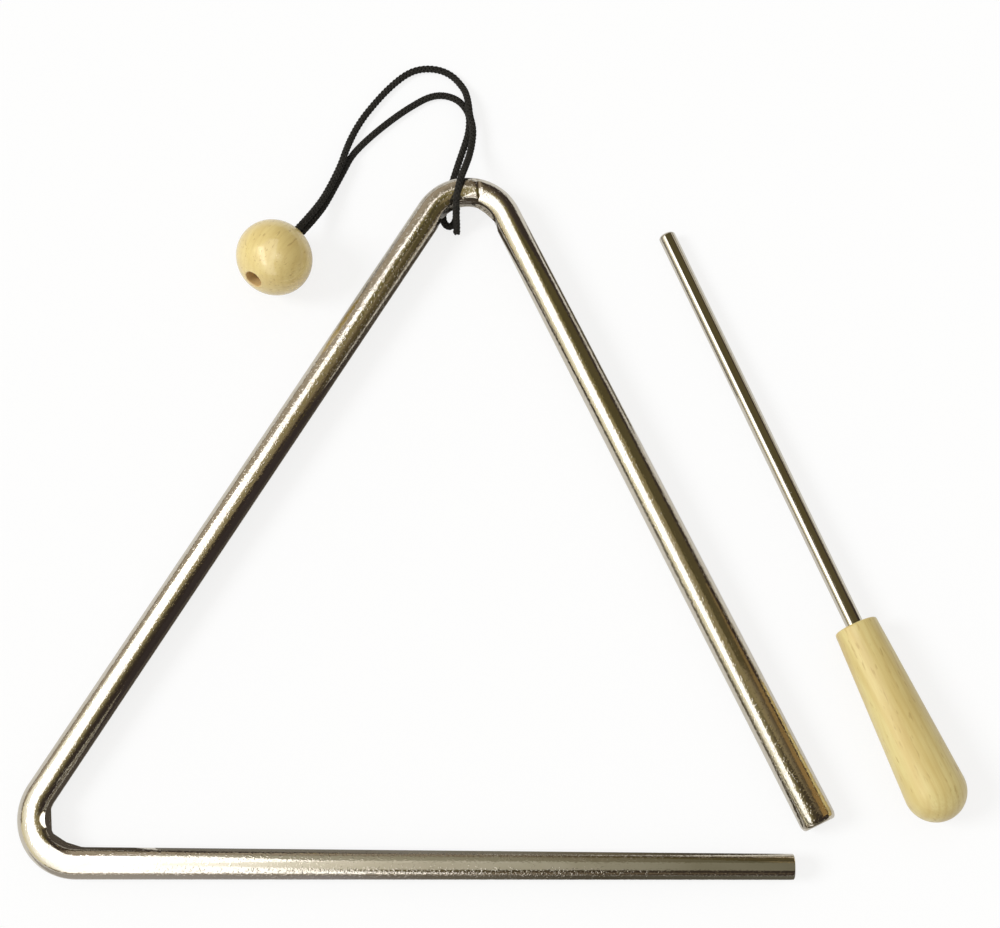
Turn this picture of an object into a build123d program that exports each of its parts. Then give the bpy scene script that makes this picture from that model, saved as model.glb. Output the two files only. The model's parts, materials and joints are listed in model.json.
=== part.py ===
from build123d import *
import math
import os

# Triangle bar: one steel bar, bent twice, open at its lower right corner
bar_diameter = 8.0
right_end_diameter = 9.4
bottom_end_diameter = 6.4
bend_radius = 11.5
left_side = 226.6
right_reach = 203.6
bottom_reach = 199.8
left_angle = 58.7
apex_angle = 57.2
bar_lie_angle = -0.3
right_end_chamfer = 1.0
bottom_end_chamfer = 0.4
mandrel_mark = 0.7

# Hanging cord, tied round the bar beside the middle of the apex bend
cord_diameter = 2.0
cord_clearance = 0.3
tie_angle = 13.5
run_share = 0.45

# Bead on the doubled cord, with a stopper knot in its wider bore
bead_diameter = 21.0
bead_length = 19.5
bead_across = -58.5
bead_up = 69.6
cord_bore_diameter = 4.8
knot_bore_diameter = 5.4
knot_bore_depth = 9.75
bore_edge_chamfer = 0.4
bore_heading = 55.7
bore_dip = 18.0
knot_diameter = 5.0
knot_length = 5.2
knot_clearance = 0.1
knot_round_share = 0.3

# Beater: a steel rod pressed into a turned handle
rod_diameter = 4.6
rod_visible = 119.0
rod_seat = 30.0
rod_seat_diameter = 4.0
rod_tip_chamfer = 0.5
rod_fit = 0.02
handle_length = 53.8
handle_neck_diameter = 11.4
handle_dome_diameter = 15.8
handle_neck_round = 0.6
beater_heading = -67.35
beater_tip_across = 172.0
beater_tip_up = 169.6

# How far a cutter runs past the piece that it cuts
overrun = 5.0

# The cord's routes, in the frame of the finished part, with the table at zero height.
# A tie runs from the swing line beside the bar to its free end, over the bar or under it.
# A strand runs from the swing line, along the table, into the bead's bore.
front_tie_route = [
    (-6.0, 114.0, 3.3),
    (-5.2, 110.9, 3.3),
    (-5.5, 106.5, 3.5),
    (-6.3, 101.5, 5.4),
    (-7.6, 95.9, 9.2),
    (-8.6, 91.9, 11.7),
    (-9.6, 86.8, 11.7),
    (-9.8, 84.2, 7.2),
    (-9.6, 81.9, 3.5),
    (-9.7, 80.2, 1.6),
]
back_tie_route = [
    (-6.3, 114.0, 1.0),
    (-6.5, 110.9, 1.0),
    (-7.6, 106.9, 1.0),
    (-9.4, 101.2, 1.0),
    (-11.2, 95.0, 1.0),
    (-12.9, 88.7, 1.0),
    (-13.7, 85.4, 1.0),
    (-13.0, 83.0, 1.0),
    (-11.0, 82.3, 1.0),
    (-9.2, 83.6, 1.0),
    (-8.5, 86.0, 1.0),
    (-8.6, 88.3, 1.0),
]
outer_strand_route = [
    (-6.3, 115.3, 3.3),
    (-6.5, 118.1, 3.1),
    (-7.3, 122.6, 1.9),
    (-9.0, 125.7, 1.1),
    (-11.2, 128.2, 1.0),
    (-14.5, 130.0, 1.0),
    (-18.4, 130.5, 1.0),
    (-22.2, 129.8, 1.0),
    (-25.8, 127.5, 1.0),
    (-30.4, 122.9, 1.0),
    (-35.3, 116.5, 1.0),
    (-37.8, 112.3, 1.0),
    (-39.5, 108.4, 1.2),
    (-40.6, 104.4, 2.7),
    (-41.7, 100.1, 3.3),
    (-44.6, 93.3, 3.4),
    (-47.2, 87.6, 4.7),
    (-52.8, 78.75, 8.06),
    (-58.97, 69.72, 11.61),
]
inner_strand_route = [
    (-6.3, 115.3, 1.0),
    (-7.0, 117.4, 1.0),
    (-8.6, 119.8, 1.0),
    (-11.0, 121.5, 1.0),
    (-14.4, 122.3, 1.0),
    (-17.9, 121.6, 1.0),
    (-21.8, 119.3, 1.0),
    (-26.3, 116.1, 1.0),
    (-31.3, 111.9, 1.0),
    (-35.7, 107.7, 1.0),
    (-39.2, 103.6, 1.0),
    (-41.0, 99.6, 1.0),
    (-44.2, 92.9, 1.05),
    (-46.8, 86.7, 2.6),
    (-52.4, 77.73, 6.14),
    (-58.57, 68.7, 9.69),
]

bar_radius = bar_diameter / 2
cord_radius = cord_diameter / 2
rod_radius = rod_diameter / 2
bead_radius = bead_diameter / 2


def heading(angle):
    """The unit direction in the table plane at an angle from +X, in degrees."""
    return Vector(math.cos(math.radians(angle)), math.sin(math.radians(angle)), 0)


def setback(angle):
    """How far a bend starts from the corner of its two centre lines."""
    return bend_radius / math.tan(math.radians(angle / 2))


def bend_centre(corner, bisector, angle):
    return corner + bisector * (bend_radius / math.sin(math.radians(angle / 2)))


# The bar's own plane has the left corner at its origin and the bottom leg along +X
left_corner = Vector(0, 0, 0)
left_heading = heading(left_angle)
apex_corner = left_corner + left_heading * left_side
right_heading = heading(left_angle + 180 + apex_angle)
left_centre = bend_centre(left_corner, heading(left_angle / 2), left_angle)
apex_centre = bend_centre(apex_corner, heading(left_angle + 180 + apex_angle / 2), apex_angle)
tie_outward = heading(left_angle + apex_angle / 2 + tie_angle)
tie_point = apex_centre + tie_outward * bend_radius


def bar_leg(start, direction, length, start_radius, end_radius, end_chamfer):
    """A straight leg, tapered from its bend to a cut end with a broken edge."""
    chamfer_share = end_chamfer / length
    edge_radius = end_radius + (start_radius - end_radius) * chamfer_share
    outline = Polyline(
        (0, 0),
        (start_radius, 0),
        (edge_radius, length - end_chamfer),
        (edge_radius - end_chamfer, length),
        (0, length),
        close=True,
    )
    turned = revolve(Plane.XZ * make_face(outline), axis=Axis.Z)
    return Plane(origin=start, z_dir=direction) * turned


def bar_bend(centre, start, direction, turn):
    """A bend of the bar's round section about an upright axis."""
    section = Plane(origin=start, z_dir=direction) * Circle(bar_radius)
    return revolve(section, axis=Axis(centre, (0, 0, 1)), revolution_arc=turn)


def mandrel_cut(centre):
    """The mandrel that the bar was bent round, which left a flat on the inside of the bend."""
    mandrel_radius = bend_radius - bar_radius + mandrel_mark
    return Pos(centre) * Cylinder(mandrel_radius, bar_diameter + 2 * overrun)


def make_bar():
    left_leg_start = left_corner + left_heading * setback(left_angle)
    left_leg_length = left_side - setback(left_angle) - setback(apex_angle)
    left_leg_place = Plane(origin=left_leg_start, z_dir=left_heading)
    left_leg = left_leg_place * extrude(Circle(bar_radius), left_leg_length)
    left_bend = bar_bend(left_centre, left_leg_start, -left_heading, 180 - left_angle)
    right_leg_start = apex_corner + right_heading * setback(apex_angle)
    apex_bend = bar_bend(apex_centre, right_leg_start, -right_heading, 180 - apex_angle)
    right_leg = bar_leg(
        right_leg_start,
        right_heading,
        right_reach - setback(apex_angle),
        bar_radius,
        right_end_diameter / 2,
        right_end_chamfer,
    )
    bottom_leg = bar_leg(
        left_corner + Vector(setback(left_angle), 0, 0),
        Vector(1, 0, 0),
        bottom_reach - setback(left_angle),
        bar_radius,
        bottom_end_diameter / 2,
        bottom_end_chamfer,
    )
    bar = left_leg + left_bend + apex_bend + right_leg + bottom_leg
    return bar - mandrel_cut(apex_centre)


def seat_plane():
    """The bar's plane as it rests: on the left bend, on its right end and on the cord under the apex."""
    left_seat = left_centre - heading(left_angle / 2) * bend_radius
    right_seat = apex_corner + right_heading * (right_reach - right_end_chamfer)
    seats = (
        (left_seat, bar_radius),
        (right_seat, right_end_diameter / 2),
        (tie_point, cord_diameter + cord_clearance + bar_radius),
    )
    a, b, c = [Vector(point.X, point.Y, height) for point, height in seats]
    normal = (b - a).cross(c - a).normalized()
    if normal.Z < 0:
        normal = -normal
    origin_height = (normal.X * a.X + normal.Y * a.Y + normal.Z * a.Z) / normal.Z
    along = Vector(normal.Z, 0, -normal.X)
    return Plane(origin=(0, 0, origin_height), x_dir=along, z_dir=normal)


def make_rod():
    """The beater's rod along +Z from its free tip, turned down where the handle seats it."""
    rod = extrude(Circle(rod_radius), rod_visible)
    tip_edge = rod.edges().filter_by(GeomType.CIRCLE).sort_by(Axis.Z)[0]
    rod = chamfer(tip_edge, rod_tip_chamfer)
    return rod + Pos(0, 0, rod_visible) * extrude(Circle(rod_seat_diameter / 2), rod_seat)


def make_handle():
    """The turned handle along +Z: a flat neck round the rod, a taper and a round end."""
    neck = rod_visible
    end = rod_visible + handle_length
    dome_radius = handle_dome_diameter / 2
    neck_radius = handle_neck_diameter / 2
    dome_centre = end - dome_radius
    reach = dome_centre - neck
    tangent = math.acos(dome_radius / math.hypot(reach, neck_radius)) - math.atan2(reach, neck_radius)
    shoulder = (dome_radius * math.cos(tangent), dome_centre + dome_radius * math.sin(tangent))
    middle_angle = (math.pi / 2 + tangent) / 2
    middle = (dome_radius * math.cos(middle_angle), dome_centre + dome_radius * math.sin(middle_angle))
    outline = Polyline((0, end), (0, neck), (neck_radius, neck), shoulder)
    outline += ThreePointArc(shoulder, middle, (0, end))
    turned = revolve(Plane.XZ * make_face(outline), axis=Axis.Z)
    neck_edge = turned.edges().filter_by(GeomType.CIRCLE).sort_by(Axis.Z)[0]
    turned = fillet(neck_edge, handle_neck_round)
    bore = Pos(0, 0, neck) * extrude(Circle(rod_seat_diameter / 2 + rod_fit), rod_seat + rod_fit)
    return turned - bore


def beater_place():
    """The beater's place: its rod's tip and its handle's round end both touch the table."""
    dome_radius = handle_dome_diameter / 2
    dome_reach = rod_visible + handle_length - dome_radius
    rod_angle = math.atan2(rod_radius, dome_reach)
    rise = math.asin(dome_radius / math.hypot(rod_radius, dome_reach)) - rod_angle
    direction = heading(beater_heading) * math.cos(rise) + Vector(0, 0, math.sin(rise))
    tip = Vector(beater_tip_across, beater_tip_up, rod_radius * math.cos(rise))
    return Plane(origin=tip, z_dir=direction)


def route_radii(route, rounds_bar):
    """The radius of each bend of a route: the bar's where it rounds the bar, or what its runs allow."""
    bar_round = bar_radius + cord_clearance + cord_radius
    radii = []
    for number in range(1, len(route) - 1):
        before = Vector(route[number]) - Vector(route[number - 1])
        after = Vector(route[number + 1]) - Vector(route[number])
        half_turn = math.radians(before.get_angle(after)) / 2
        largest = run_share * min(before.length, after.length) / math.tan(half_turn)
        radii.append(bar_round if number in rounds_bar else largest)
    return radii


def make_cord(name, route, rounds_bar=()):
    """A stretch of cord: a round tube on straight runs joined by tangent arcs."""
    radii = route_radii(route, rounds_bar)
    path = FilletPolyline(*route, radius=radii)
    tube = sweep(Plane(origin=path @ 0, z_dir=path % 0) * Circle(cord_radius), path=path)
    expected = math.pi * cord_radius**2 * path.length
    print(name, "length", round(path.length, 1), "volume share", round(tube.volume / expected, 4))
    print(name, "radii", [round(radius, 1) for radius in radii])
    return tube


def make_strand(name, route):
    """A strand with a round end on the swing line, clear of its tie."""
    return make_cord(name, route) + Pos(route[0]) * Sphere(cord_radius)


dip = math.radians(bore_dip)
bore_direction = heading(bore_heading) * math.cos(dip) - Vector(0, 0, math.sin(dip))
bore_plane = Plane(origin=(bead_across, bead_up, bead_radius), z_dir=bore_direction)
knot_seat = knot_bore_depth - bead_length / 2


def broken_edge(bore_radius):
    """The cone that breaks the edge of a bore where it comes out of the bead's upper side."""
    rim = bead_length / 2 * math.sqrt(1 - (bore_radius / bead_radius) ** 2)
    wide_radius = bore_radius + 2 * bore_edge_chamfer
    cone = Cone(bore_radius, wide_radius, 2 * bore_edge_chamfer)
    return Pos(0, 0, rim) * cone


def make_bead():
    """The turned, flattened ball, bored for the doubled cord and, from the far side, for its knot."""
    half_length = bead_length / 2
    outline = EllipticalCenterArc((0, 0), bead_radius, half_length, start_angle=-90, arc_size=180)
    outline += Line((0, half_length), (0, -half_length))
    ball = revolve(Plane.XZ * make_face(outline), axis=Axis.Z)
    ball -= Pos(0, 0, knot_seat) * extrude(Circle(cord_bore_diameter / 2), half_length + overrun)
    ball -= Pos(0, 0, knot_seat) * extrude(Circle(knot_bore_diameter / 2), -knot_bore_depth - overrun)
    ball -= broken_edge(cord_bore_diameter / 2)
    ball -= Rot(180, 0, 0) * broken_edge(knot_bore_diameter / 2)
    return bore_plane * ball


def make_knot():
    """The stopper knot, drawn up to the step in the bead's bore."""
    knot = Pos(0, 0, knot_seat - knot_clearance) * extrude(Circle(knot_diameter / 2), -knot_length)
    knot = fillet(knot.edges().filter_by(GeomType.CIRCLE), knot_diameter * knot_round_share)
    return bore_plane * knot


bar = Rot(0, 0, bar_lie_angle) * (seat_plane() * make_bar())
bar = Pos(0, 0, -bar.bounding_box().min.Z) * bar
rod = beater_place() * make_rod()
handle = beater_place() * make_handle()
rigid_box = Compound([bar, rod, handle]).bounding_box()
middle = rigid_box.center()
to_origin = Pos(-middle.X, -middle.Y, -rigid_box.min.Z)

nodes = {
    "triangle_bar": to_origin * bar,
    "beater_rod": to_origin * rod,
    "beater_handle": to_origin * handle,
    "cord_front_tie": make_cord("front tie", front_tie_route, rounds_bar=(5, 6)),
    "cord_back_tie": make_cord("back tie", back_tie_route),
    "cord_outer_strand": make_strand("outer strand", outer_strand_route),
    "cord_inner_strand": make_strand("inner strand", inner_strand_route),
    "stopper_knot": make_knot(),
    "bead": make_bead(),
}

os.makedirs("parts", exist_ok=True)
for name, solid in nodes.items():
    export_step(solid, f"parts/{name}.step")
    print(name, "solids", len(solid.solids()), "volume", round(solid.volume, 1))
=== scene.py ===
import bisect
import json
import math

import bmesh
import bpy
from mathutils import Matrix, Vector


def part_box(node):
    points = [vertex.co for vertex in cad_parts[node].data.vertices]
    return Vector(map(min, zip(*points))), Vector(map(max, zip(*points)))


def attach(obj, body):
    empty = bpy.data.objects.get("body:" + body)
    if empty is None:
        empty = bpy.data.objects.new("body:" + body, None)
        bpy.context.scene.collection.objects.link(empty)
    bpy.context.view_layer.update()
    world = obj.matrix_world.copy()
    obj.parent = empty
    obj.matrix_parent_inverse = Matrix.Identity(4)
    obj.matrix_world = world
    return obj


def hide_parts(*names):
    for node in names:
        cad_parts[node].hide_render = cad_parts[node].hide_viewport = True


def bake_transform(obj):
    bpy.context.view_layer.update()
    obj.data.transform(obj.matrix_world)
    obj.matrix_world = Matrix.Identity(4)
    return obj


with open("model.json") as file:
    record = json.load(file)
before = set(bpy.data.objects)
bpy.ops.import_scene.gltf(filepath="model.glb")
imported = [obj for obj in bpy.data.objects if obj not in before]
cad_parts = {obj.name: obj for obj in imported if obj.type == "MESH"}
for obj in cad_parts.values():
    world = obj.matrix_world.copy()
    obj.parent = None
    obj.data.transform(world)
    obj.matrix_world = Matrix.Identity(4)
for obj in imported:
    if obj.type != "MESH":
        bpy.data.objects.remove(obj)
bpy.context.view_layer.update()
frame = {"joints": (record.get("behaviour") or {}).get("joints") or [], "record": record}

joints = {joint["name"]: joint for joint in frame["joints"]}
mounts = {mount["name"]: mount for mount in frame["record"]["mounts"]}

# Sizes of the bar, in metres, as the solid has them
bar_radius = 0.004
right_end_radius = 0.0047
bottom_end_radius = 0.0032
bend_radius = 0.0115
left_side = 0.2266
right_reach = 0.2036
bottom_reach = 0.1998
left_angle = math.radians(58.7)
apex_angle = math.radians(57.2)
lie_angle = math.radians(-0.3)
tie_angle = math.radians(13.5)
right_end_chamfer = 0.001
bottom_end_chamfer = 0.0004
tie_lift = 0.0023

# How finely the bar's mesh is divided, and how far along it the right end's rounded edge runs
bar_sides = 88
leg_step = 0.001
bend_step = 0.0004
end_edge_steps = 6
station_slack = 1e-6
right_end_round = 0.0019

# The flats that the press left inside the bends: angle about the bend's centre, and reach from it
press_draft = math.radians(32)
mandrel_reach = 0.0082
left_flats = [(164, 0.0075), (211, 0.0077), (246, 0.0069), (287, 0.0082)]
left_flats_top = 0.0084
apex_flats = [(18, 0.0082), (49, 0.00725), (84, 0.0082)]
apex_flats_top = 0.009

# The lips that it raised beside them: first and last angle, inner and outer reach,
# height at either angle, and droop towards both
left_lip = (172, 203, 0.0079, 0.0095, 0.0033, 0.0033, 0.0006)
apex_lip = (71, 96, 0.0084, 0.0108, 0.00395, 0.0032, 0.0001)

# The crease across the apex: its angle and reach at either end, and its section
crease_angles = (70, 80)
crease_reaches = (0.0092, 0.0146)
crease_half_width = math.radians(3.5)
crease_depth = 0.00025

# Sizes of the cord and its braid
braid_strands = 4
braid_pitch = 0.0046
braid_radius = 0.00066
braid_wave = 0.00008
strand_radius = 0.00029
strand_sides = 8
core_radius = 0.0006
core_sides = 12
curve_steps = 32

# Sizes of the bead and of the knot in it
bead_radius = 0.0105
bead_half_length = 0.00975
cord_bore_radius = 0.0024
knot_bore_radius = 0.0024
bore_edge_round = 0.0004
bore_fade = (0.0001, 0.0003)
bead_steps = 72
knot_radius = 0.0022
knot_length = 0.0052
knot_strand_share = 0.4
knot_reach_shares = (0.62, 0.38)
knot_lobes = 3
knot_turns = 2
knot_steps = 96
knot_sides = 16

# Sizes of the beater
rod_radius = 0.0023
rod_visible = 0.119
rod_seat = 0.03
rod_seat_radius = 0.002
rod_tip_chamfer = 0.0005
rod_tip_round = rod_tip_chamfer / 3
rod_tip_support = 2 * rod_tip_chamfer
mount_to_tip = 0.06
handle_length = 0.0538
handle_neck_radius = 0.0057
handle_dome_radius = 0.0079
handle_neck_round = 0.0006
neck_support_share = 0.05
dome_steps = 40

# How turned pieces are divided
turned_steps = 128
edge_segments = 4
ring_slack = 1e-6
merge_slack = 1e-7

# How uneven the plating is, by how far from the bar's right end and from the rod's tip
bar_wear = [
    (0, 0.6), (0.1, 0.4), (0.18, 0.25), (0.2, 0.9), (0.25, 0.9), (0.28, 0.6),
    (0.37, 0.4), (0.42, 0.4), (0.47, 1.0), (0.54, 1.0), (0.57, 0.4), (0.61, 0.25),
]
rod_wear = [(0, 0.5), (0.119, 0.8)]

# How deep the relief in the wood and the yarn is
wood_relief = 0.00001
yarn_relief = 0.00003

# Edges that turn by more than this stay sharp
crisp_angle = math.radians(40)
strand_crisp_angle = math.radians(60)

# The cord's routes, as in the part's source but for a tighter loop at the inner cord's end:
# each from its end at the bar, by the swing line, to the bead
outer_cord_route = [
    (-0.0097, 0.0802, 0.0016),
    (-0.0096, 0.0819, 0.0035),
    (-0.0098, 0.0842, 0.0072),
    (-0.0096, 0.0868, 0.0117),
    (-0.0086, 0.0919, 0.0117),
    (-0.0076, 0.0959, 0.0092),
    (-0.0063, 0.1015, 0.0054),
    (-0.0055, 0.1065, 0.0035),
    (-0.0052, 0.1109, 0.0033),
    (-0.0063, 0.1153, 0.0033),
    (-0.0065, 0.1181, 0.0031),
    (-0.0073, 0.1226, 0.0019),
    (-0.0090, 0.1257, 0.0011),
    (-0.0112, 0.1282, 0.0010),
    (-0.0145, 0.1300, 0.0010),
    (-0.0184, 0.1305, 0.0010),
    (-0.0222, 0.1298, 0.0010),
    (-0.0258, 0.1275, 0.0010),
    (-0.0304, 0.1229, 0.0010),
    (-0.0353, 0.1165, 0.0010),
    (-0.0378, 0.1123, 0.0010),
    (-0.0395, 0.1084, 0.0012),
    (-0.0406, 0.1044, 0.0027),
    (-0.0417, 0.1001, 0.0033),
    (-0.0446, 0.0933, 0.0034),
    (-0.0472, 0.0876, 0.0047),
    (-0.0528, 0.07875, 0.00806),
    (-0.05897, 0.06972, 0.01161),
]
inner_cord_route = [
    (-0.0098, 0.0883, 0.0010),
    (-0.0098, 0.0860, 0.0010),
    (-0.0102, 0.0837, 0.0010),
    (-0.0114, 0.0823, 0.0010),
    (-0.0130, 0.0830, 0.0010),
    (-0.0137, 0.0854, 0.0010),
    (-0.0129, 0.0887, 0.0010),
    (-0.0112, 0.0950, 0.0010),
    (-0.0094, 0.1012, 0.0010),
    (-0.0076, 0.1069, 0.0010),
    (-0.0065, 0.1109, 0.0010),
    (-0.0063, 0.1153, 0.0010),
    (-0.0070, 0.1174, 0.0010),
    (-0.0086, 0.1198, 0.0010),
    (-0.0110, 0.1215, 0.0010),
    (-0.0144, 0.1223, 0.0010),
    (-0.0179, 0.1216, 0.0010),
    (-0.0218, 0.1193, 0.0010),
    (-0.0263, 0.1161, 0.0010),
    (-0.0313, 0.1119, 0.0010),
    (-0.0357, 0.1077, 0.0010),
    (-0.0392, 0.1036, 0.0010),
    (-0.0410, 0.0996, 0.0010),
    (-0.0442, 0.0929, 0.00105),
    (-0.0468, 0.0867, 0.0026),
    (-0.0524, 0.07773, 0.00614),
    (-0.05857, 0.0687, 0.00969),
]

# The camera looks down at the table, leaning towards the tied corner
camera_lens = 72
camera_sensor = 36
camera_near = 0.01
camera_tilt = math.radians(16)
camera_reach = 0.533
camera_aim = Vector((0.00221, 0.0148, 0))

# The stage: how white the table is to the camera, to other rays and in reflections, and the room's light
floor_half_size = 6
floor_roughness = 0.6
floor_seen_share = 0.8
floor_seen_tone = 0.97
floor_tone = 0.78
floor_mirrored_share = 0.3
room_level = 0.62
room_tint = (1, 0.97, 0.9, 1)
window_tint = (0.97, 1, 1.05)
sun_energy = 1.75
sun_spread = math.radians(22)
sun_turn = (math.radians(2), math.radians(-48), 0)
spot_place = (-0.026, -0.007, 0.195)
spot_size = 0.045
spot_energy = 0.1

# The cards over the table, which show only in reflections. Each has an outline and tones,
# and a tone's place is X less the slant times Y.
card_height = 0.175
card_slant = 0.22
gap_drop = 0.001
window_outline = [
    (-0.03, -0.9), (-0.03, -0.5), (-0.06, -0.4), (-0.067, -0.09), (-0.047, 0), (-0.01, 0.17),
    (-0.1, 0.165), (-0.12, 0.125), (-0.2, 0.112), (-0.3, 0.106), (-0.6, 0.075), (-0.9, 0.03),
    (-0.9, -0.9),
]
window_tones = [
    (-0.9, (0.85, 0.78, 0.56)),
    (-0.45, (1.12, 1.08, 0.86)),
    (-0.25, (1.4, 1.4, 1.34)),
    (-0.15, (2.0, 2.0, 2.05)),
    (0.0, (2.0, 2.0, 2.05)),
]
gap_outline = [(-0.225, -0.15), (-0.14, -0.15), (-0.14, 0.09), (-0.225, 0.09)]
gap_tones = [
    (-0.25, (1.7, 1.7, 1.65)),
    (-0.2, (6.0, 6.0, 5.9)),
    (-0.16, (6.0, 6.0, 5.9)),
    (-0.11, (2.0, 2.0, 2.0)),
]
curtain_outline = [(-0.0603, -0.06), (0.3, -0.06), (0.3, 0.065), (-0.033, 0.065), (-0.047, 0)]
curtain_tones = [
    (-0.05, (0.50, 0.43, 0.23)),
    (-0.02, (0.38, 0.32, 0.16)),
    (0.01, (0.31, 0.26, 0.13)),
    (0.075, (0.31, 0.255, 0.135)),
    (0.105, (0.27, 0.22, 0.13)),
    (0.15, (0.15, 0.12, 0.075)),
    (0.2, (0.14, 0.10, 0.05)),
    (0.3, (0.10, 0.075, 0.045)),
]
hem_outline = [(-0.067, -0.09), (-0.06, -0.4), (0.3, -0.4), (0.3, -0.06), (-0.0603, -0.06)]
hem_tones = [
    (-0.05, (0.50, 0.43, 0.23)),
    (0.0, (0.30, 0.265, 0.15)),
    (0.02, (0.20, 0.17, 0.09)),
    (0.05, (0.10, 0.08, 0.045)),
    (0.11, (0.055, 0.042, 0.03)),
    (0.25, (0.04, 0.03, 0.028)),
]
pelmet_outline = [(-0.033, 0.065), (0.3, 0.065), (0.3, 0.17), (-0.01, 0.17)]
pelmet_tones = [
    (-0.05, (0.46, 0.40, 0.22)),
    (-0.02, (0.30, 0.26, 0.12)),
    (0.01, (0.17, 0.145, 0.06)),
    (0.04, (0.08, 0.066, 0.03)),
    (0.1, (0.10, 0.085, 0.05)),
    (0.25, (0.06, 0.046, 0.04)),
]
wall_ends = ((-0.9, -0.9), (-0.9, -0.1))
wall_tones = [
    (-0.9, (0.9, 0.84, 0.62)),
    (-0.6, (0.9, 0.84, 0.62)),
]

# Lower cards, over the beater's rod and beside it, over the right leg's end and over the bottom leg
rod_card_height = 0.05
rod_card_outline = [(0.0077, 0.0953), (0.063, -0.0373), (0.1377, -0.0061), (0.0824, 0.1265)]
rod_card_tones = [
    (0.0, (0.11, 0.093, 0.04)),
    (0.14, (0.12, 0.095, 0.045)),
]
side_height = 0.012
side_outline = [(0.055, 0.0987), (0.1054, -0.0143), (0.145, 0.0023), (0.0973, 0.1164)]
side_tones = [
    (0.03, (0.64, 0.6, 0.5)),
    (0.15, (0.5, 0.45, 0.34)),
]
warm_outline = [(0.0575, -0.0181), (0.0851, -0.0794), (0.0928, -0.0757), (0.0593, -0.0172)]
warm_tones = [
    (0.06, (0.2, 0.15, 0.07)),
    (0.11, (0.4, 0.25, 0.09)),
]
bottom_height = 0.013
bottom_outline = [(-0.09, -0.0915), (-0.03, -0.0968), (0.1, -0.0968), (0.1, -0.0875), (-0.03, -0.0875)]
bottom_tones = [
    (-0.07, (2.0, 2.0, 1.95)),
    (-0.03, (1.05, 1.03, 0.92)),
    (0.0, (0.64, 0.62, 0.53)),
    (0.03, (0.5, 0.49, 0.41)),
    (0.05, (0.38, 0.37, 0.3)),
    (0.075, (0.26, 0.25, 0.19)),
    (0.105, (0.2, 0.19, 0.14)),
]
inside_outline = [(-0.1, -0.0775), (-0.045, -0.0875), (0.075, -0.0875), (0.04, -0.0775)]
inside_tones = [
    (-0.085, (1.2, 1.18, 1.05)),
    (-0.06, (0.62, 0.6, 0.5)),
    (-0.035, (0.49, 0.48, 0.39)),
    (0.0, (0.36, 0.35, 0.27)),
    (0.04, (0.25, 0.23, 0.165)),
    (0.08, (0.15, 0.14, 0.09)),
]

# Painted shade: dark cards just over the table and one upright flag, which stand in for the table's shadow
# beside the bar and give the metal its dark edges
shade_height = 0.0003
left_shade_outline = [
    (-0.1105, -0.08), (-0.109, -0.0745), (-0.0123, 0.0824), (-0.0068, 0.0852), (-0.001, 0.0825),
    (-0.001, 0.074), (-0.005, 0.058), (-0.0016, 0.035), (-0.05, -0.043), (-0.085, -0.07),
    (-0.09, -0.0862), (-0.1035, -0.0862), (-0.1085, -0.0838),
]
left_shade_tones = [
    (-0.1, (0.10, 0.086, 0.075)),
    (-0.02, (0.08, 0.068, 0.055)),
]
middle_shade_outline = [
    (-0.085, -0.0862), (0.076, -0.0862), (0.064, -0.076), (0.056, -0.07), (0.0445, -0.045),
    (0.03, -0.02), (0.012, 0.004), (-0.0016, 0.035), (-0.05, -0.043), (-0.085, -0.07),
]
middle_shade_tones = [
    (-0.06, (0.22, 0.21, 0.19)),
    (0.0, (0.26, 0.25, 0.23)),
    (0.045, (0.18, 0.16, 0.12)),
    (0.075, (0.07, 0.058, 0.04)),
    (0.09, (0.07, 0.058, 0.04)),
]
right_shade_outline = [
    (0.0135, 0.0885), (0.028, 0.055), (0.042, 0.03), (0.057, 0.03), (0.047, 0.055), (0.036, 0.0795),
    (0.034, 0.0885),
]
right_shade_tones = [
    (0.0, (0.10, 0.082, 0.055)),
    (0.05, (0.10, 0.082, 0.055)),
]
lower_shade_outline = [(-0.14, -0.0958), (0.14, -0.0958), (0.14, -0.5), (-0.14, -0.5)]
lower_shade_tones = [
    (-0.08, (0.45, 0.43, 0.41)),
    (-0.02, (0.32, 0.30, 0.31)),
    (0.01, (0.18, 0.165, 0.14)),
    (0.05, (0.10, 0.09, 0.07)),
    (0.1, (0.14, 0.135, 0.11)),
]
flag_ends = ((-0.0985, -0.0731), (-0.0228, 0.05))
flag_height = 0.0115
flag_taper_share = 0.25
shade_flag_tones = [
    (-0.1, (0.05, 0.04, 0.04)),
    (0.0, (0.05, 0.04, 0.04)),
]

# The room's tones in reflections, by the angle from straight up towards +X
room_tones = [
    (-90, (0.2, 0.17, 0.13)),
    (-84, (0.2, 0.17, 0.13)),
    (-80, (0.46, 0.40, 0.32)),
    (-30, (0.46, 0.40, 0.32)),
    (10, (0.15, 0.12, 0.08)),
    (30, (0.055, 0.042, 0.036)),
    (75, (0.05, 0.038, 0.034)),
    (90, (0.12, 0.1, 0.075)),
]


def link(thing):
    bpy.context.scene.collection.objects.link(thing)
    return thing


def set_camera():
    eye = bpy.data.cameras.new("camera")
    eye.lens = camera_lens
    eye.sensor_width = camera_sensor
    eye.clip_start = camera_near
    camera = link(bpy.data.objects.new("camera", eye))
    camera.rotation_euler = (camera_tilt, 0, 0)
    lean = Vector((0, -math.sin(camera_tilt), math.cos(camera_tilt)))
    camera.location = camera_aim + lean * camera_reach
    bpy.context.scene.camera = camera


set_camera()


def heading(angle):
    """The unit direction in the bar's plane at an angle from +X."""
    return Vector((math.cos(angle), math.sin(angle), 0))


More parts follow.
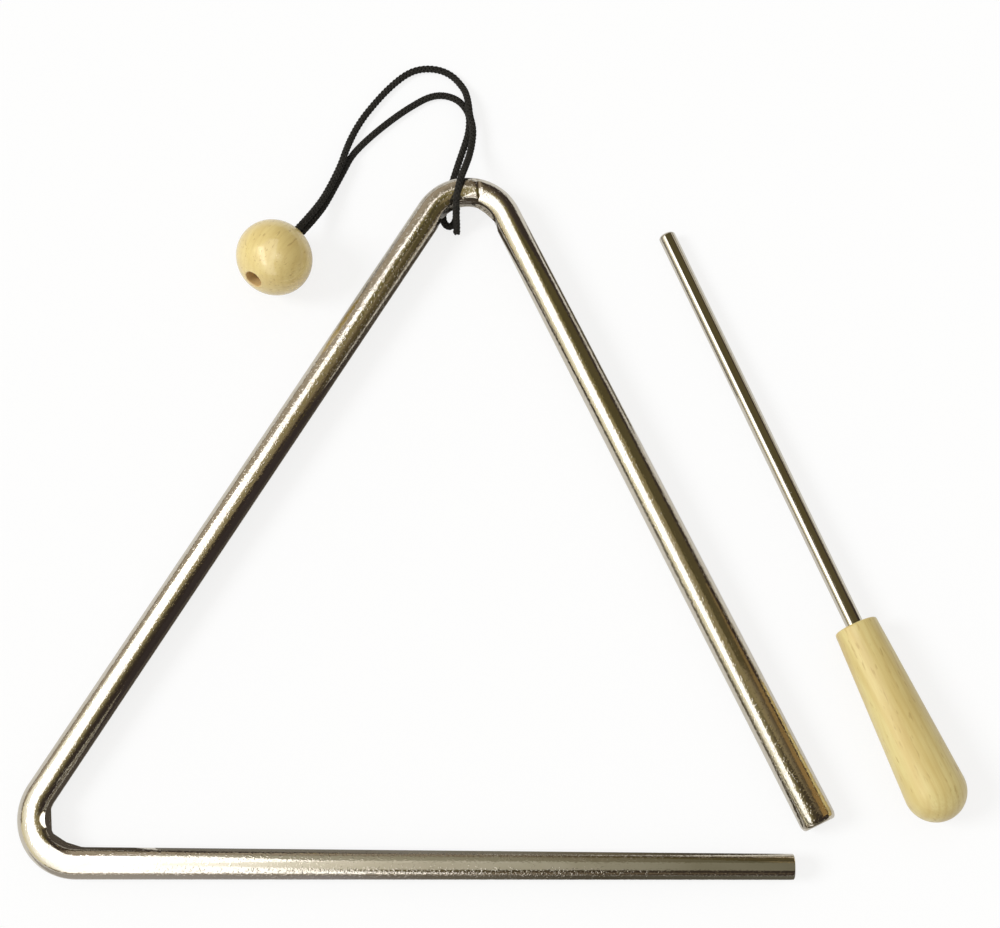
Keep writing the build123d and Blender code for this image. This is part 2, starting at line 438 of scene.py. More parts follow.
def finished_object(name, bm, material, crisp=crisp_angle):
    """A piece from its bmesh, smooth but for its crisp edges, with its material on it."""
    mesh = bpy.data.meshes.new(name)
    for face in bm.faces:
        face.smooth = True
    for edge in bm.edges:
        if edge.is_manifold and edge.calc_face_angle() > crisp:
            edge.smooth = False
    bm.to_mesh(mesh)
    bm.free()
    mesh.materials.append(material)
    return link(bpy.data.objects.new(name, mesh))


def note_place(bm):
    """Keeps each point's place in the straight, unplaced piece, which the drawn and grown patterns follow."""
    layer = bm.verts.layers.float_vector.new("own_place")
    for vert in bm.verts:
        vert[layer] = vert.co


# Shader helpers


def add_node(tree, kind, **inputs):
    """A shader node with its named inputs set; an underscore in a name stands for a space."""
    node = tree.nodes.new(kind)
    for name, value in inputs.items():
        node.inputs[name.replace("_", " ")].default_value = value
    return node


def add_maths(tree, operation, first, second=None):
    """A Math node on sockets or plain numbers."""
    node = tree.nodes.new("ShaderNodeMath")
    node.operation = operation
    for socket, value in zip(node.inputs, (first, second)):
        if isinstance(value, bpy.types.NodeSocket):
            tree.links.new(value, socket)
        elif value is not None:
            socket.default_value = value
    return node.outputs[0]


def add_range(tree, value, given, wanted):
    """A Map Range node, clamped, from one stretch of numbers to another; each is (low, high)."""
    node = tree.nodes.new("ShaderNodeMapRange")
    tree.links.new(value, node.inputs["Value"])
    for name, number in zip(("From Min", "From Max", "To Min", "To Max"), (*given, *wanted)):
        node.inputs[name].default_value = number
    return node.outputs["Result"]


def add_mix(tree, share, first, second):
    """A colour mix of sockets or plain colours. The colours are a Mix node's inputs 6 and 7 and output 2."""
    node = tree.nodes.new("ShaderNodeMix")
    node.data_type = "RGBA"
    for number, value in ((0, share), (6, first), (7, second)):
        if isinstance(value, bpy.types.NodeSocket):
            tree.links.new(value, node.inputs[number])
        else:
            node.inputs[number].default_value = value
    return node.outputs[2]


def add_ramp(tree, value, stops):
    """A colour ramp over a value that runs from the first stop to the last; each is (value, colour)."""
    low = stops[0][0]
    high = stops[-1][0]
    ramp = tree.nodes.new("ShaderNodeValToRGB")
    tree.links.new(add_range(tree, value, (low, high), (0, 1)), ramp.inputs["Fac"])
    elements = ramp.color_ramp.elements
    for stop, colour in stops[1:-1]:
        elements.new((stop - low) / (high - low)).color = (*colour, 1)
    elements[0].color = (*stops[0][1], 1)
    elements[len(elements) - 1].color = (*stops[-1][1], 1)
    return ramp.outputs["Color"]


def add_noise(tree, place, stretch, scale, detail=2.0, roughness=0.5):
    """A noise pattern on places that are first stretched along their own axes."""
    mapping = add_node(tree, "ShaderNodeMapping", Scale=stretch)
    tree.links.new(place, mapping.inputs["Vector"])
    noise = add_node(tree, "ShaderNodeTexNoise", Scale=scale, Detail=detail, Roughness=roughness)
    tree.links.new(mapping.outputs[0], noise.inputs["Vector"])
    return noise.outputs["Fac"]


def new_group(name, inputs, outputs):
    """An empty shader node group with named sockets; each of them is (name, kind)."""
    group = bpy.data.node_groups.new(name, "ShaderNodeTree")
    for title, kind in inputs:
        group.interface.new_socket(title, in_out="INPUT", socket_type=kind)
    for title, kind in outputs:
        group.interface.new_socket(title, in_out="OUTPUT", socket_type=kind)
    return group, group.nodes.new("NodeGroupInput").outputs, group.nodes.new("NodeGroupOutput").inputs


def new_material(name):
    """A node material: its tree, its shader and its piece's own places."""
    material = bpy.data.materials.new(name)
    material.use_nodes = True
    tree = material.node_tree
    place = tree.nodes.new("ShaderNodeAttribute")
    place.attribute_name = "own_place"
    return material, tree, tree.nodes["Principled BSDF"], place.outputs["Vector"]


def add_bump(tree, shader, height, distance, strength=1.0):
    bump = add_node(tree, "ShaderNodeBump", Strength=strength, Distance=distance)
    tree.links.new(height, bump.inputs["Height"])
    tree.links.new(bump.outputs[0], shader.inputs["Normal"])


def drawn_plate_group():
    """Plating over drawn steel: faint streaks along the piece, fine orange peel and raised specks."""
    group, given, made = new_group(
        "drawn_plate",
        [("Place", "NodeSocketVector"), ("Wear", "NodeSocketFloat")],
        [("Streaks", "NodeSocketFloat"), ("Tarnish", "NodeSocketFloat"), ("Height", "NodeSocketFloat")],
    )
    streaks = add_noise(group, given["Place"], stretch=(1, 1, 0.02), scale=3000, detail=3)
    clouds = add_noise(group, given["Place"], stretch=(1, 1, 0.3), scale=260, detail=3)
    tarnish = add_range(group, clouds, (0.42, 0.75), (0, 1))
    peel = add_noise(group, given["Place"], stretch=(1, 1, 0.75), scale=2300, detail=2, roughness=0.55)
    spots = add_noise(group, given["Place"], stretch=(1, 1, 0.8), scale=1900, detail=1)
    specks = add_range(group, spots, (0.57, 0.68), (0, 1))
    height = add_maths(group, "MULTIPLY", add_maths(group, "ADD", peel, specks), given["Wear"])
    group.links.new(streaks, made["Streaks"])
    group.links.new(tarnish, made["Tarnish"])
    group.links.new(height, made["Height"])
    return group


def beech_group():
    """Turned beech: soft tone streaks and faint growth rings, fine fibres and short faint ray flecks."""
    group, given, made = new_group(
        "beech",
        [("Place", "NodeSocketVector"), ("Light", "NodeSocketColor"),
         ("Dark", "NodeSocketColor"), ("Fleck", "NodeSocketColor")],
        [("Color", "NodeSocketColor"), ("Height", "NodeSocketFloat")],
    )
    rings = add_node(group, "ShaderNodeTexWave", Scale=210, Distortion=2.0, Detail=2.0)
    rings.inputs["Detail Scale"].default_value = 1.2
    slope = add_node(group, "ShaderNodeMapping", Scale=(1, 0.5, 0.16), Rotation=(0, 0, 0.6))
    group.links.new(given["Place"], slope.inputs["Vector"])
    group.links.new(slope.outputs[0], rings.inputs["Vector"])
    clouds = add_noise(group, given["Place"], stretch=(1, 1, 0.14), scale=240, detail=3)
    fibres = add_noise(group, given["Place"], stretch=(1, 1, 0.035), scale=2400, detail=3)
    dashes = add_noise(group, given["Place"], stretch=(1, 1, 0.2), scale=1500, detail=1)
    cloudy = add_range(group, clouds, (0.35, 0.75), (0, 0.75))
    ringed = add_range(group, rings.outputs["Fac"], (0.6, 1), (0, 0.32))
    fibrous = add_range(group, fibres, (0.45, 0.7), (0, 0.3))
    flecks = add_range(group, dashes, (0.63, 0.74), (0, 0.55))
    colour = add_mix(group, cloudy, given["Light"], given["Dark"])
    colour = add_mix(group, ringed, colour, given["Dark"])
    colour = add_mix(group, fibrous, colour, given["Dark"])
    colour = add_mix(group, flecks, colour, given["Fleck"])
    height = add_maths(group, "SUBTRACT", fibres, flecks)
    group.links.new(colour, made["Color"])
    group.links.new(height, made["Height"])
    return group


def use_group(tree, group, place):
    node = tree.nodes.new("ShaderNodeGroup")
    node.node_tree = group
    tree.links.new(place, node.inputs["Place"])
    return node


def plated_material(name, group, bright, dull, smooth, rough, peel, wear):
    """Bright plating, glossy along its drawn streaks, tarnished in clouds and worn along its length."""
    material, tree, shader, place = new_material(name)
    plate = use_group(tree, group, place)
    split = tree.nodes.new("ShaderNodeSeparateXYZ")
    tree.links.new(place, split.inputs[0])
    shares = [(stop, (share, share, share)) for stop, share in wear]
    tree.links.new(add_ramp(tree, split.outputs["Z"], shares), plate.inputs["Wear"])
    colour = add_mix(tree, plate.outputs["Tarnish"], (*bright, 1), (*dull, 1))
    tree.links.new(colour, shader.inputs["Base Color"])
    gloss = add_range(tree, plate.outputs["Streaks"], (0.3, 0.7), (smooth, rough))
    tree.links.new(gloss, shader.inputs["Roughness"])
    shader.inputs["Metallic"].default_value = 1.0
    add_bump(tree, shader, plate.outputs["Height"], peel)
    return material


def beech_material(name, group, light, dark, fleck, roughness, coat, coat_roughness, bore=None):
    """Lacquered beech; a bore, given by its radius and colour, has a tone of its own."""
    material, tree, shader, place = new_material(name)
    wood = use_group(tree, group, place)
    for socket, colour in (("Light", light), ("Dark", dark), ("Fleck", fleck)):
        wood.inputs[socket].default_value = (*colour, 1)
    colour = wood.outputs["Color"]
    if bore:
        split = tree.nodes.new("ShaderNodeSeparateXYZ")
        tree.links.new(place, split.inputs[0])
        squares = [add_maths(tree, "MULTIPLY", split.outputs[axis], split.outputs[axis]) for axis in "XY"]
        reach = add_maths(tree, "SQRT", add_maths(tree, "ADD", *squares))
        radius, tone = bore
        inside = add_range(tree, reach, [radius + fade for fade in bore_fade], (1, 0))
        colour = add_mix(tree, inside, colour, (*tone, 1))
    tree.links.new(colour, shader.inputs["Base Color"])
    shader.inputs["Roughness"].default_value = roughness
    shader.inputs["Coat Weight"].default_value = coat
    shader.inputs["Coat Roughness"].default_value = coat_roughness
    add_bump(tree, shader, wood.outputs["Height"], wood_relief)
    return material


def cord_material():
    """Black braided cord: matt yarn, a little worn to brown."""
    material, tree, shader, place = new_material("black_cord")
    worn = add_noise(tree, place, stretch=(1, 1, 1), scale=900)
    colour = add_mix(tree, worn, (0.010, 0.009, 0.008, 1), (0.030, 0.027, 0.021, 1))
    tree.links.new(colour, shader.inputs["Base Color"])
    shader.inputs["Roughness"].default_value = 0.75
    shader.inputs["Specular IOR Level"].default_value = 0.25
    yarn = add_noise(tree, place, stretch=(1, 1, 0.3), scale=6000, detail=1)
    add_bump(tree, shader, yarn, yarn_relief)
    return material


plate_group = drawn_plate_group()
wood_group = beech_group()
bar_finish = plated_material(
    "plated_bar", plate_group, bright=(0.66, 0.61, 0.52), dull=(0.60, 0.55, 0.45),
    smooth=0.06, rough=0.12, peel=0.00004, wear=bar_wear)
rod_finish = plated_material(
    "plated_rod", plate_group, bright=(0.68, 0.64, 0.55), dull=(0.64, 0.59, 0.50),
    smooth=0.05, rough=0.10, peel=0.000004, wear=rod_wear)
bead_finish = beech_material(
    "beech_bead", wood_group, light=(0.79, 0.63, 0.25), dark=(0.67, 0.49, 0.17), fleck=(0.44, 0.28, 0.08),
    roughness=0.4, coat=0.9, coat_roughness=0.1, bore=(knot_bore_radius, (0.62, 0.42, 0.18)))
handle_finish = beech_material(
    "beech_handle", wood_group, light=(0.74, 0.62, 0.26), dark=(0.57, 0.40, 0.11), fleck=(0.44, 0.28, 0.07),
    roughness=0.5, coat=1.0, coat_roughness=0.4)
cord_finish = cord_material()


# Cords


def cord_line(name, route):
    """The smooth line of a cord, read from a NURBS spline with the route's points as its control points."""
    curve = bpy.data.curves.new(name, "CURVE")
    curve.dimensions = "3D"
    curve.resolution_u = curve_steps
    spline = curve.splines.new("NURBS")
    spline.points.add(len(route) - 1)
    for point, place in zip(spline.points, route):
        point.co = (*place, 1)
    spline.order_u = 3
    spline.use_endpoint_u = True
    thread = bpy.data.objects.new(name, curve)
    mesh = bpy.data.meshes.new_from_object(thread)
    points = [vertex.co.copy() for vertex in mesh.vertices]
    bpy.data.objects.remove(thread)
    bpy.data.meshes.remove(mesh)
    bpy.data.curves.remove(curve)
    return points


def line_frames(points):
    """At each point of a line: how far along it is, and two directions square to it that don't twist."""
    along = 0.0
    side = None
    frames = []
    for number, point in enumerate(points):
        before = points[max(number - 1, 0)]
        after = points[min(number + 1, len(points) - 1)]
        tangent = (after - before).normalized()
        if side is None:
            side = tangent.orthogonal()
        side = (side - tangent * side.dot(tangent)).normalized()
        along += (point - before).length
        frames.append((along, side, tangent.cross(side)))
    return frames


def add_strand(curve, points):
    strand = curve.splines.new("POLY")
    strand.points.add(len(points) - 1)
    for target, point in zip(strand.points, points):
        target.co = (*point, 1)


def tube_mesh(name, lines, radius, sides):
    """The mesh of round strands along several lines, with closed ends."""
    curve = bpy.data.curves.new(name, "CURVE")
    curve.dimensions = "3D"
    curve.bevel_depth = radius
    curve.bevel_resolution = sides // 2 - 2
    curve.use_fill_caps = True
    for line in lines:
        add_strand(curve, line)
    strands = bpy.data.objects.new(name, curve)
    mesh = bpy.data.meshes.new_from_object(strands)
    bpy.data.objects.remove(strands)
    bpy.data.curves.remove(curve)
    return mesh


def braided_cord(name, route):
    """A round braid of strands laid both ways, which pass over and under each other, on a plain core."""
    points = cord_line(name, route)
    frames = line_frames(points)
    strands = []
    for way in (1, -1):
        for number in range(braid_strands):
            strand = []
            for point, (along, side, other) in zip(points, frames):
                turn = way * 2 * math.pi * along / braid_pitch + 2 * math.pi * number / braid_strands
                wave = math.cos(2 * braid_strands * math.pi * along / braid_pitch)
                reach = braid_radius + way * braid_wave * wave
                strand.append(point + (side * math.cos(turn) + other * math.sin(turn)) * reach)
            strands.append(strand)
    braid = tube_mesh(name, strands, strand_radius, strand_sides)
    core = tube_mesh(name, [points], core_radius, core_sides)
    bm = bmesh.new()
    for mesh in (braid, core):
        bm.from_mesh(mesh)
        bpy.data.meshes.remove(mesh)
    note_place(bm)
    cord = finished_object(name, bm, cord_finish, strand_crisp_angle)
    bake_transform(cord)
    length = sum((after - before).length for before, after in zip(points, points[1:]))
    return cord, points, length


# The turned pieces


def arc(centre, across, along, start, end, count):
    """Points of an ellipse's arc in an outline of (radius, height)."""
    angles = [start + (end - start) * number / count for number in range(count + 1)]
    return [(across * math.cos(angle), centre + along * math.sin(angle)) for angle in angles]


def turned(outline, closed=False, steps=turned_steps):
    """A piece turned about its own Z axis, from an outline of (radius, height)."""
    bm = bmesh.new()
    line = [bm.verts.new((radius, 0, height)) for radius, height in outline]
    pairs = list(zip(line, line[1:]))
    if closed:
        pairs.append((line[-1], line[0]))
    edges = [bm.edges.new(pair) for pair in pairs]
    bmesh.ops.spin(bm, geom=line + edges, cent=(0, 0, 0), axis=(0, 0, 1), angle=2 * math.pi,
                   steps=steps, use_merge=True)
    bmesh.ops.remove_doubles(bm, verts=bm.verts, dist=merge_slack)
    bmesh.ops.recalc_face_normals(bm, faces=bm.faces)
    return bm


def ring_edges(bm, radius, height):
    """The edges of the turned ring at that radius and height."""
    ring = set()
    for vert in bm.verts:
        if abs(vert.co.xy.length - radius) < ring_slack and abs(vert.co.z - height) < ring_slack:
            ring.add(vert)
    return [edge for edge in bm.edges if ring.issuperset(edge.verts)]


def round_ring(bm, radius, height, width):
    bmesh.ops.bevel(bm, geom=ring_edges(bm, radius, height), offset=width, offset_type="OFFSET",
                    affect="EDGES", segments=edge_segments, profile=0.5, material=-1)


def place_turned(bm, origin, axis):
    """Moves a turned piece so that its own Z axis runs along an axis from an origin."""
    turn = axis.to_track_quat("Z", "Y").to_matrix().to_4x4()
    bmesh.ops.transform(bm, matrix=Matrix.Translation(origin) @ turn, verts=bm.verts)


def make_bead():
    rim = math.acos(cord_bore_radius / bead_radius)
    knot_rim = math.acos(knot_bore_radius / bead_radius)
    outline = [(cord_bore_radius, 0)]
    outline += arc(0, bead_radius, bead_half_length, rim, -knot_rim, bead_steps)
    outline += [(knot_bore_radius, 0)]
    bm = turned(outline, closed=True)
    round_ring(bm, cord_bore_radius, bead_half_length * math.sin(rim), bore_edge_round)
    round_ring(bm, knot_bore_radius, -bead_half_length * math.sin(knot_rim), bore_edge_round)
    note_place(bm)
    turn = joints["bead_turn"]
    place_turned(bm, Vector(turn["pos_m"]), Vector(turn["axis"]))
    bead = finished_object("turned_bead", bm, bead_finish)
    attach(bead, "grip_bead")
    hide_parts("bead")
    return bead


rod_axis = -Vector(mounts["beater_shaft"]["axis"]).normalized()
rod_tip = Vector(mounts["beater_shaft"]["pos_m"]) - rod_axis * mount_to_tip


def make_rod():
    seat_end = rod_visible + rod_seat
    bm = turned([
        (0, 0),
        (rod_radius - rod_tip_chamfer, 0),
        (rod_radius, rod_tip_chamfer),
        (rod_radius, rod_tip_support),
        (rod_radius, rod_visible),
        (rod_seat_radius, rod_visible),
        (rod_seat_radius, seat_end),
        (0, seat_end),
    ])
    round_ring(bm, rod_radius - rod_tip_chamfer, 0, rod_tip_round)
    round_ring(bm, rod_radius, rod_tip_chamfer, rod_tip_round)
    note_place(bm)
    place_turned(bm, rod_tip, rod_axis)
    rod = finished_object("drawn_rod", bm, rod_finish)
    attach(rod, "beater")
    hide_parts("beater_rod")


def make_handle():
    end = rod_visible + handle_length
    dome = end - handle_dome_radius
    reach = dome - rod_visible
    lean = math.acos(handle_dome_radius / math.hypot(reach, handle_neck_radius))
    tangent = lean - math.atan2(reach, handle_neck_radius)
    seat_end = rod_visible + rod_seat
    outline = [(0, seat_end), (rod_seat_radius, seat_end), (rod_seat_radius, rod_visible)]
    neck = Vector((handle_neck_radius, rod_visible))
    side = arc(dome, handle_dome_radius, handle_dome_radius, tangent, math.pi / 2, dome_steps)
    outline += [neck, neck.lerp(Vector(side[0]), neck_support_share), *side]
    outline[-1] = (0, end)
    bm = turned(outline)
    round_ring(bm, handle_neck_radius, rod_visible, handle_neck_round)
    note_place(bm)
    place_turned(bm, rod_tip, rod_axis)
    handle = finished_object("turned_handle", bm, handle_finish)
    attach(handle, "beater")
    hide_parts("beater_handle")


def make_knot():
    """The stopper knot: an overhand knot drawn tight, in the bore past the bead's middle."""
    turn = joints["bead_turn"]
    axis = Vector(turn["axis"])
    place = Matrix.Translation(turn["pos_m"]) @ axis.to_track_quat("Z", "Y").to_matrix().to_4x4()
    strand = knot_radius * knot_strand_share
    middle, swell = knot_reach_shares
    line = []
    for number in range(knot_steps + 1):
        angle = 2 * math.pi * number / knot_steps
        turned_angle = knot_turns * angle
        reach = (knot_radius - strand) * (middle + swell * math.cos(knot_lobes * angle))
        height = -knot_length / 2 + (knot_length / 2 - strand) * math.sin(knot_lobes * angle)
        line.append(place @ Vector((reach * math.cos(turned_angle), reach * math.sin(turned_angle), height)))
    mesh = tube_mesh("knot", [line], strand, knot_sides)
    bm = bmesh.new()
    bm.from_mesh(mesh)
    bpy.data.meshes.remove(mesh)
    note_place(bm)
    knot = finished_object("cord_knot", bm, cord_finish)
    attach(knot, "cord_loop")
    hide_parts("stopper_knot")
    return knot


# The bar


def setback(angle):
    """How far a bend starts from the corner of its two centre lines."""
    return bend_radius / math.tan(angle / 2)


apex_corner = heading(left_angle) * left_side
right_heading = heading(left_angle + math.pi + apex_angle)
left_centre = heading(left_angle / 2) * (bend_radius / math.sin(left_angle / 2))
apex_bisector = heading(left_angle + math.pi + apex_angle / 2)
apex_centre = apex_corner + apex_bisector * (bend_radius / math.sin(apex_angle / 2))
right_leg = right_reach - setback(apex_angle)
left_leg = left_side - setback(left_angle) - setback(apex_angle)
bottom_leg = bottom_reach - setback(left_angle)
bar_runs = [
    (right_leg, 0),
    (bend_radius * (math.pi - apex_angle), math.pi - apex_angle),
    (left_leg, 0),
    (bend_radius * (math.pi - left_angle), math.pi - left_angle),
    (bottom_leg, 0),
]
bar_length = sum(length for length, turn in bar_runs)


def bar_section(along):
    """Takes the straight bar's section, that far from its right end, to its place on the bent line."""
    place = apex_corner + right_heading * right_reach
    angle = left_angle + apex_angle
    left = along
    for length, turn in bar_runs:
        step = min(left, length)
        if turn:
            swept = turn * step / length
            place += (heading(angle + math.pi / 2) - heading(angle + swept + math.pi / 2)) * bend_radius
            angle += swept
        else:
            place += heading(angle) * step
        left -= step
    inward = heading(angle + math.pi / 2)
    columns = (inward, Vector((0, 0, 1)), heading(angle), place)
    return Matrix([[*row] for row in zip(*columns)] + [[0, 0, 0, 1]]) @ Matrix.Translation((0, 0, -along))


def bar_reach(along):
    """The straight bar's radius, that far from its right end, without the broken edges of its ends."""
    if along < right_leg:
        return right_end_radius + (bar_radius - right_end_radius) * along / right_leg
    past = along - (bar_length - bottom_leg)
    if past > 0:
        return bar_radius + (bottom_end_radius - bar_radius) * past / bottom_leg
    return bar_radius


def rounded_edge(radius, height, across, along):
    """A quarter round from an end's face to its side, as an outline of (radius, height)."""
    outline = []
    for number in range(end_edge_steps + 1):
        angle = math.pi / 2 * number / end_edge_steps
        outline.append((radius - across * (1 - math.sin(angle)), height + along * (1 - math.cos(angle))))
    return outline


def bar_outline():
    """The straight bar's outline of (radius, height), with its stations close together in the bends."""
    stations = []
    start = 0.0
    for length, turn in bar_runs:
        count = round(length / (bend_step if turn else leg_step))
        stations += [start + length * number / count for number in range(count)]
        start += length
    first = right_end_round
    last = bar_length - bottom_end_chamfer
    inner = [station for station in stations if first + leg_step / 2 < station < last - leg_step / 2]
    outline = [(0, 0), *rounded_edge(bar_reach(first), 0, right_end_chamfer, right_end_round)]
    outline += [(bar_reach(station), station) for station in inner]
    outline += reversed(rounded_edge(bar_reach(last), bar_length, bottom_end_chamfer, -bottom_end_chamfer))
    return outline + [(0, bar_length)]


def mark_mandrel(bm, centre):
    """The mandrel's flat on the inside of a bend."""
    for vert in bm.verts:
        arm = (vert.co - centre).xy
        if arm.length < mandrel_reach:
            vert.co.xy = centre.xy + arm.normalized() * mandrel_reach


def press_flats(bm, centre, corners, top):
    """Fills the inside of a bend out to the flats that the press left, which lean back above and below."""
    sides = []
    for (start, start_reach), (end, end_reach) in zip(corners, corners[1:]):
        first = heading(math.radians(start)) * start_reach
        last = heading(math.radians(end)) * end_reach
        normal = Vector((last.y - first.y, first.x - last.x, 0)).normalized()
        sides.append((math.radians(start), math.radians(end), normal, first.dot(normal)))
    for vert in bm.verts:
        arm = Vector((vert.co.x - centre.x, vert.co.y - centre.y, 0))
        angle = math.atan2(arm.y, arm.x) % (2 * math.pi)
        for start, end, normal, offset in sides:
            if start <= angle < end and arm.length < top:
                limit = (offset + abs(vert.co.z) * math.tan(press_draft)) / heading(angle).dot(normal)
                if arm.length > limit:
                    vert.co.xy = (centre + heading(angle) * limit).xy


def raise_lip(bm, centre, start, end, inner, outer, first_height, last_height, droop):
    """Lifts the upper inside of a bend to a shelf, lower towards its two ends."""
    for vert in bm.verts:
        arm = (vert.co - centre).xy
        share = (math.degrees(math.atan2(arm.y, arm.x)) % 360 - start) / (end - start)
        if vert.co.z > 0 and 0 <= share <= 1 and inner < arm.length < outer:
            height = first_height + (last_height - first_height) * share - droop * (2 * share - 1) ** 2
            vert.co.z = max(vert.co.z, height)


def press_crease(bm, centre):
    """The crease across the top of the apex, beside its lip."""
    for vert in bm.verts:
        arm = (vert.co - centre).xy
        share = (arm.length - crease_reaches[0]) / (crease_reaches[1] - crease_reaches[0])
        if vert.co.z > 0 and 0 <= share <= 1:
            middle = math.radians(crease_angles[0] + (crease_angles[1] - crease_angles[0]) * share)
            off = abs(math.atan2(arm.y, arm.x) - middle) / crease_half_width
            if off < 1:
                vert.co.z -= crease_depth * (1 - off)


def seat_matrix():
    """Tilts the bar's plane as it rests: on its left bend, its right end and the cord under its apex."""
    left_seat = left_centre - heading(left_angle / 2) * bend_radius
    right_seat = apex_corner + right_heading * (right_reach - right_end_chamfer)
    tie_seat = apex_centre + heading(left_angle + apex_angle / 2 + tie_angle) * bend_radius
    left_seat.z = bar_radius
    right_seat.z = right_end_radius
    tie_seat.z = tie_lift + bar_radius
    normal = (right_seat - left_seat).cross(tie_seat - left_seat).normalized()
    along = Vector((normal.z, 0, -normal.x)).normalized()
    rows = zip(along, normal.cross(along), normal)
    return Matrix.Rotation(lie_angle, 4, "Z") @ Matrix([[*row] for row in rows]).to_4x4()


def make_bar():
    outline = bar_outline()
    bm = turned(outline, steps=bar_sides)
    note_place(bm)
    sections = {height: bar_section(height) for radius, height in outline}
    heights = sorted(sections)
    for vert in bm.verts:
        station = heights[bisect.bisect_left(heights, vert.co.z - station_slack)]
        vert.co = sections[station] @ vert.co
    mark_mandrel(bm, apex_centre)
    press_flats(bm, left_centre, left_flats, left_flats_top)
    press_flats(bm, apex_centre, apex_flats, apex_flats_top)
    raise_lip(bm, left_centre, *left_lip)
    raise_lip(bm, apex_centre, *apex_lip)
    press_crease(bm, apex_centre)
    bmesh.ops.transform(bm, matrix=seat_matrix(), verts=bm.verts)
    low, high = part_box("triangle_bar")
    shift = (
        low[0] - min(vert.co.x for vert in bm.verts),
        high[1] - max(vert.co.y for vert in bm.verts),
        low[2] - min(vert.co.z for vert in bm.verts),
    )
    bmesh.ops.translate(bm, vec=shift, verts=bm.verts)
    bmesh.ops.recalc_face_normals(bm, faces=bm.faces)
    bar = finished_object("bent_bar", bm, bar_finish)
    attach(bar, "triangle")
    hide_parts("triangle_bar")


make_bar()
make_rod()
make_handle()
bead = make_bead()
knot = make_knot()
outer_cord, outer_points, outer_length = braided_cord("outer_cord", outer_cord_route)
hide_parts("cord_front_tie", "cord_outer_strand")
inner_cord, inner_points, inner_length = braided_cord("inner_cord", inner_cord_route)
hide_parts("cord_back_tie", "cord_inner_strand")


# The stage


def add_light_mix(tree, share, first, second):
    """A shader mix of two shaders by a share."""
    mix = tree.nodes.new("ShaderNodeMixShader")
    for socket, value in zip(mix.inputs, (share, first, second)):
        tree.links.new(value, socket)
    return mix.outputs[0]


def stage_piece(name, bm, material):
    mesh = bpy.data.meshes.new(name)
    bm.to_mesh(mesh)
    bm.free()
    mesh.materials.append(material)
    piece = link(bpy.data.objects.new(name, mesh))
    return piece


def set_floor():
    """The white table: nearly white to the camera, greyer in reflections, with soft shadows on it."""
    material = bpy.data.materials.new("white_table")
    material.use_nodes = True
    tree = material.node_tree
    shader = tree.nodes["Principled BSDF"]
    shader.inputs["Roughness"].default_value = floor_roughness
    shader.inputs["Specular IOR Level"].default_value = 0.0
    rays = tree.nodes.new("ShaderNodeLightPath").outputs
    plain = [(tone, tone, tone, 1) for tone in (floor_tone, floor_seen_tone)]
    tree.links.new(add_mix(tree, rays["Is Camera Ray"], *plain), shader.inputs["Base Color"])
    seen = add_maths(tree, "MULTIPLY", rays["Is Camera Ray"], floor_seen_share)
    other = add_maths(tree, "ADD", rays["Is Glossy Ray"], rays["Is Transmission Ray"])
    mirrored = add_maths(tree, "MULTIPLY", other, floor_mirrored_share)
    white = add_node(tree, "ShaderNodeEmission", Color=(1, 1, 1, 1), Strength=1.0)
    mixed = add_light_mix(tree, add_maths(tree, "ADD", seen, mirrored), shader.outputs[0], white.outputs[0])
    tree.links.new(mixed, tree.nodes["Material Output"].inputs["Surface"])
    bm = bmesh.new()
    bmesh.ops.create_grid(bm, x_segments=1, y_segments=1, size=floor_half_size)
    stage_piece("table_top", bm, material)


set_floor()


def level(outline, height):
    """The corners of a level card at that height."""
    return [(x, y, height) for x, y in outline]


def upright(ends, height, taper=0.0):
    """The corners of a card that stands on the table; its top is shorter by a share at either end."""
    first, last = (Vector((*end, 0)) for end in ends)
    rise = Vector((0, 0, height))
    inset = (last - first) * taper
    return [first, last, last - inset + rise, first + inset + rise]


def set_card(name, corners, tones):
    """A card that shows only in reflections, toned across its slant."""
    material = bpy.data.materials.new(name)
    material.use_nodes = True
    tree = material.node_tree
    tree.nodes.clear()
    split = tree.nodes.new("ShaderNodeSeparateXYZ")
    tree.links.new(tree.nodes.new("ShaderNodeTexCoord").outputs["Object"], split.inputs[0])
    lean = add_maths(tree, "MULTIPLY", split.outputs["Y"], card_slant)
    across = add_maths(tree, "SUBTRACT", split.outputs["X"], lean)
    glow = add_node(tree, "ShaderNodeEmission", Strength=1.0)
    tree.links.new(add_ramp(tree, across, tones), glow.inputs["Color"])
    output = tree.nodes.new("ShaderNodeOutputMaterial")
    tree.links.new(glow.outputs[0], output.inputs["Surface"])
    bm = bmesh.new()
    bm.faces.new([bm.verts.new(corner) for corner in corners])
    card = stage_piece(name, bm, material)
    card.visible_camera = False
    card.visible_diffuse = False
    card.visible_shadow = False


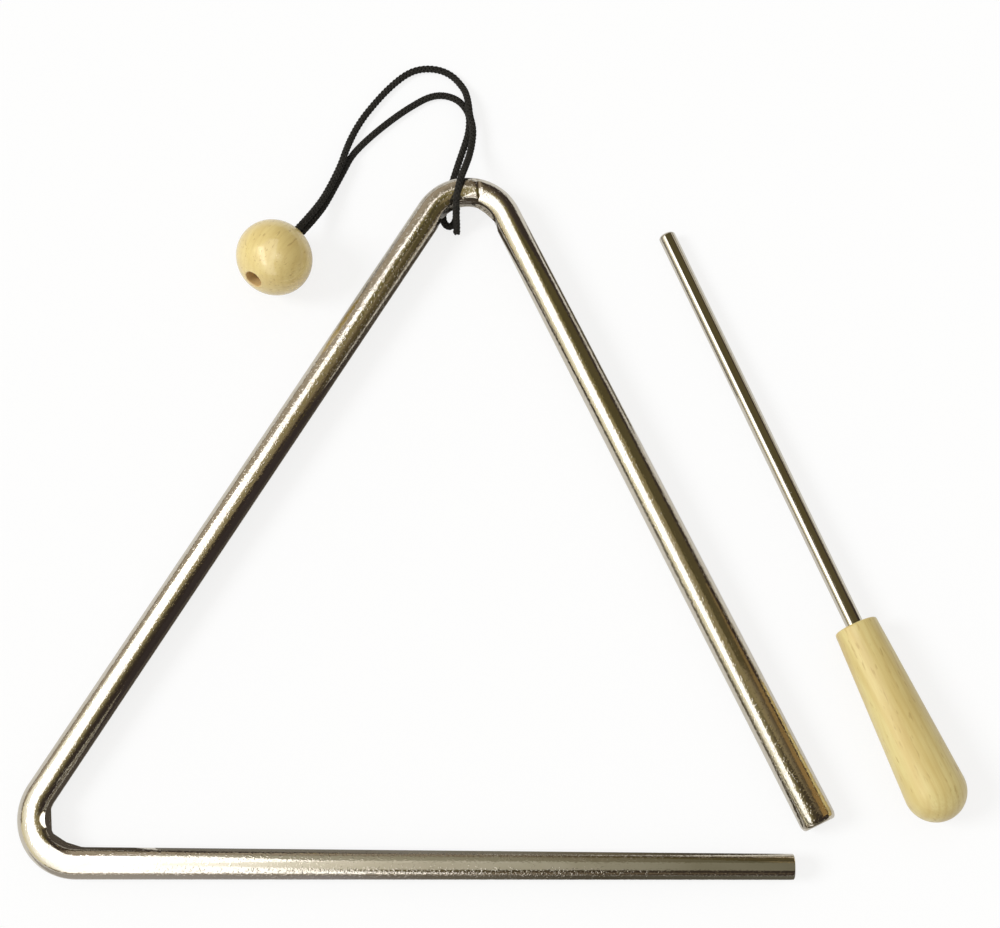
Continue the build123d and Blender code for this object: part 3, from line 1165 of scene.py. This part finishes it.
cards = [
    ("window_card", level(window_outline, card_height), window_tones),
    ("window_gap_card", level(gap_outline, card_height - gap_drop), gap_tones),
    ("curtain_card", level(curtain_outline, card_height), curtain_tones),
    ("hem_card", level(hem_outline, card_height), hem_tones),
    ("pelmet_card", level(pelmet_outline, card_height), pelmet_tones),
    ("wall_card", upright(wall_ends, card_height), wall_tones),
    ("rod_card", level(rod_card_outline, rod_card_height), rod_card_tones),
    ("side_card", level(side_outline, side_height), side_tones),
    ("warm_card", level(warm_outline, side_height), warm_tones),
    ("bottom_card", level(bottom_outline, bottom_height), bottom_tones),
    ("inside_card", level(inside_outline, bottom_height), inside_tones),
    # Painted shade: these dark cards and the flag stand in for the table's shadow in the metal's reflections
    ("left_shade_card", level(left_shade_outline, shade_height), left_shade_tones),
    ("middle_shade_card", level(middle_shade_outline, shade_height), middle_shade_tones),
    ("right_shade_card", level(right_shade_outline, shade_height), right_shade_tones),
    ("lower_shade_card", level(lower_shade_outline, shade_height), lower_shade_tones),
    ("shade_flag_card", upright(flag_ends, flag_height, flag_taper_share), shade_flag_tones),
]
for name, corners, tones in cards:
    set_card(name, corners, tones)


def set_room():
    """Even white light all round, and a dim room that shows only in reflections."""
    world = bpy.data.worlds.new("room")
    bpy.context.scene.world = world
    world.use_nodes = True
    tree = world.node_tree
    tree.nodes.clear()
    split = tree.nodes.new("ShaderNodeSeparateXYZ")
    tree.links.new(tree.nodes.new("ShaderNodeTexCoord").outputs["Generated"], split.inputs[0])
    across = add_maths(tree, "ARCTAN2", split.outputs["X"], split.outputs["Z"])
    angle = add_maths(tree, "DEGREES", across)
    seen = add_node(tree, "ShaderNodeBackground", Strength=1.0)
    tree.links.new(add_ramp(tree, angle, room_tones), seen.inputs["Color"])
    light = add_node(tree, "ShaderNodeBackground", Color=room_tint, Strength=room_level)
    white = add_node(tree, "ShaderNodeBackground", Color=(1, 1, 1, 1), Strength=1.0)
    rays = tree.nodes.new("ShaderNodeLightPath").outputs
    unseen = add_light_mix(tree, rays["Is Glossy Ray"], light.outputs[0], seen.outputs[0])
    whole = add_light_mix(tree, rays["Is Camera Ray"], unseen, white.outputs[0])
    output = tree.nodes.new("ShaderNodeOutputWorld")
    tree.links.new(whole, output.inputs["Surface"])


set_room()


def set_lamps():
    """A broad soft lamp from the window's side, and a small lamp that leaves a spot on the bead's lacquer."""
    light = bpy.data.lights.new("window_light", "SUN")
    light.energy = sun_energy
    light.color = window_tint
    light.angle = sun_spread
    lamp = link(bpy.data.objects.new("window_light", light))
    lamp.rotation_euler = sun_turn
    lamp.visible_glossy = False
    light = bpy.data.lights.new("spot_light", "AREA")
    light.shape = "DISK"
    light.size = spot_size
    light.energy = spot_energy
    lamp = link(bpy.data.objects.new("spot_light", light))
    lamp.rotation_euler = (camera_tilt, 0, 0)
    lamp.location = spot_place
    lamp.visible_camera = False
    lamp.visible_diffuse = False


set_lamps()
bpy.context.scene.view_settings.view_transform = "Standard"
